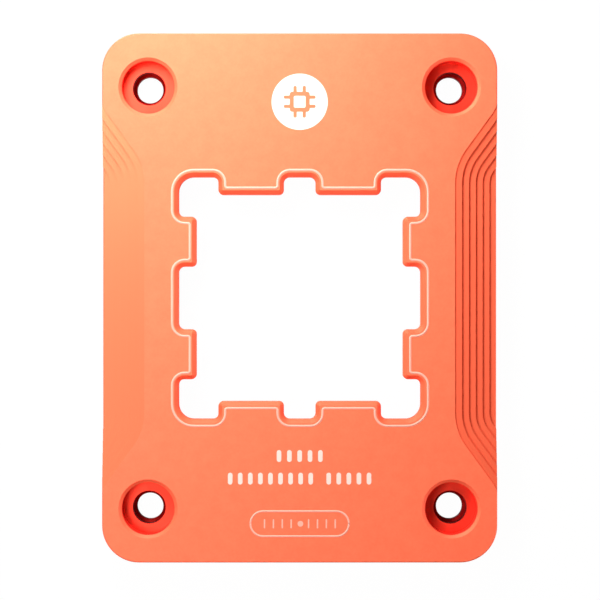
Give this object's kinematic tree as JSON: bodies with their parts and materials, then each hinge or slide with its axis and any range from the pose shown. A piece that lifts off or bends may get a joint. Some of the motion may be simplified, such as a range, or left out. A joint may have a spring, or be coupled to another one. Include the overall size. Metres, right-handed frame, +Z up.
{
  "type": "cpu socket retention frame",
  "caption": "Flat milled aluminium frame that screws down round a processor socket, with a keyed square aperture, counterbored corner holes and stepped long sides.",
  "frame": {"origin": "middle of the underside, on the plane that the frame rests on", "axes": "+Z up out of the finished face, +Y along the long side, +X along the short side"},
  "size_m": [0.0534, 0.0716, 0.006],
  "materials": {
    "anodised_aluminium": "bead-blasted and anodised orange"
  },
  "bodies": {
    "root": {"retention_frame": "anodised_aluminium"}
  },
  "joints": []
}
